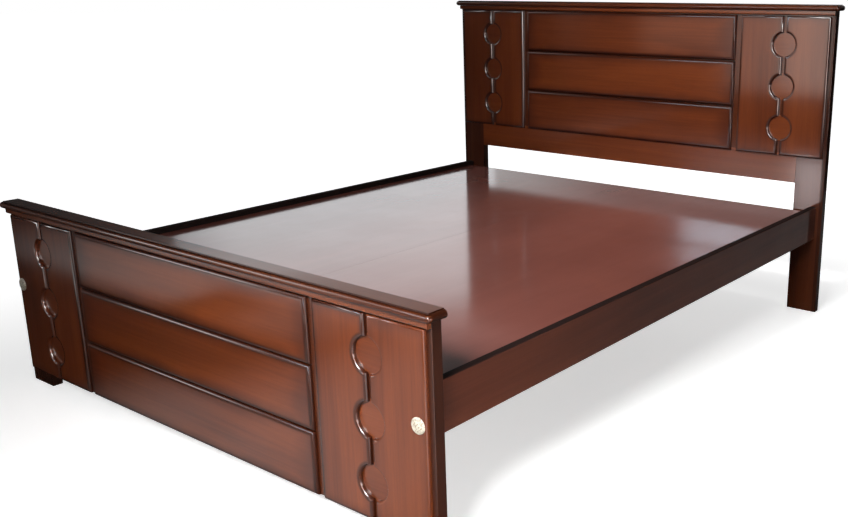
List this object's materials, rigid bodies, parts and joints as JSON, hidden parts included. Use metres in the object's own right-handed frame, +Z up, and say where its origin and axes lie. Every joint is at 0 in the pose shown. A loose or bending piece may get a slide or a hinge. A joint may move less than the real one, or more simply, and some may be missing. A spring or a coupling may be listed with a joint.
{
  "type": "bed frame",
  "caption": "Lacquered wooden double bed frame: panelled headboard and footboard with slot-and-circle boards under moulded caps, bolted side rails and a flat platform.",
  "frame": {"origin": "on the floor, under the middle of the overall length and width", "axes": "+Z up, +Y from the foot end to the head end, +X to the right as seen from the foot end"},
  "size_m": [1.665, 2.004, 1.06],
  "materials": {
    "lacquered_hardwood": "dark red-brown stain under clear gloss lacquer",
    "dark_rail_wood": "very dark brown stain under clear gloss lacquer on the outer face",
    "lacquered_plywood": "stained veneer with a mirror-like lacquer",
    "plain_softwood": "bare planed wood",
    "zinc_steel": "bright zinc plate",
    "ivory_plastic": "satin ivory"
  },
  "bodies": {
    "root": {"centre_beam": "plain_softwood", "centre_leg_1": "plain_softwood", "centre_leg_2": "plain_softwood", "cross_bearer_1": "plain_softwood", "cross_bearer_2": "plain_softwood", "cross_bearer_3": "plain_softwood", "cross_bearer_4": "plain_softwood", "cross_bearer_5": "plain_softwood", "cross_bearer_6": "plain_softwood", "footboard_back_panel": "lacquered_hardwood", "footboard_cap": "lacquered_hardwood", "footboard_cap_moulding": "lacquered_hardwood", "footboard_left_barrel_nut": "zinc_steel", "footboard_left_bolt": "zinc_steel", "footboard_left_bolt_cap": "ivory_plastic", "footboard_left_dowel": "plain_softwood", "footboard_left_inner_board": "lacquered_hardwood", "footboard_left_outer_board": "lacquered_hardwood", "footboard_left_post": "lacquered_hardwood", "footboard_lower_rail": "lacquered_hardwood", "footboard_plank_1": "lacquered_hardwood", "footboard_plank_2": "lacquered_hardwood", "footboard_plank_3": "lacquered_hardwood", "footboard_right_barrel_nut": "zinc_steel", "footboard_right_bolt": "zinc_steel", "footboard_right_bolt_cap": "ivory_plastic", "footboard_right_dowel": "plain_softwood", "footboard_right_inner_board": "lacquered_hardwood", "footboard_right_outer_board": "lacquered_hardwood", "footboard_right_post": "lacquered_hardwood", "footboard_top_rail": "lacquered_hardwood", "headboard_back_panel": "lacquered_hardwood", "headboard_cap": "lacquered_hardwood", "headboard_cap_moulding": "lacquered_hardwood", "headboard_left_barrel_nut": "zinc_steel", "headboard_left_bolt": "zinc_steel", "headboard_left_dowel": "plain_softwood", "headboard_left_inner_board": "lacquered_hardwood", "headboard_left_outer_board": "lacquered_hardwood", "headboard_left_post": "lacquered_hardwood", "headboard_lower_rail": "lacquered_hardwood", "headboard_plank_1": "lacquered_hardwood", "headboard_plank_2": "lacquered_hardwood", "headboard_plank_3": "lacquered_hardwood", "headboard_right_barrel_nut": "zinc_steel", "headboard_right_bolt": "zinc_steel", "headboard_right_dowel": "plain_softwood", "headboard_right_inner_board": "lacquered_hardwood", "headboard_right_outer_board": "lacquered_hardwood", "headboard_right_post": "lacquered_hardwood", "headboard_top_rail": "lacquered_hardwood", "left_ledger": "plain_softwood", "left_side_rail": "dark_rail_wood", "platform_left_panel": "lacquered_plywood", "platform_right_panel": "lacquered_plywood", "right_ledger": "plain_softwood", "right_side_rail": "dark_rail_wood"}
  },
  "joints": []
}
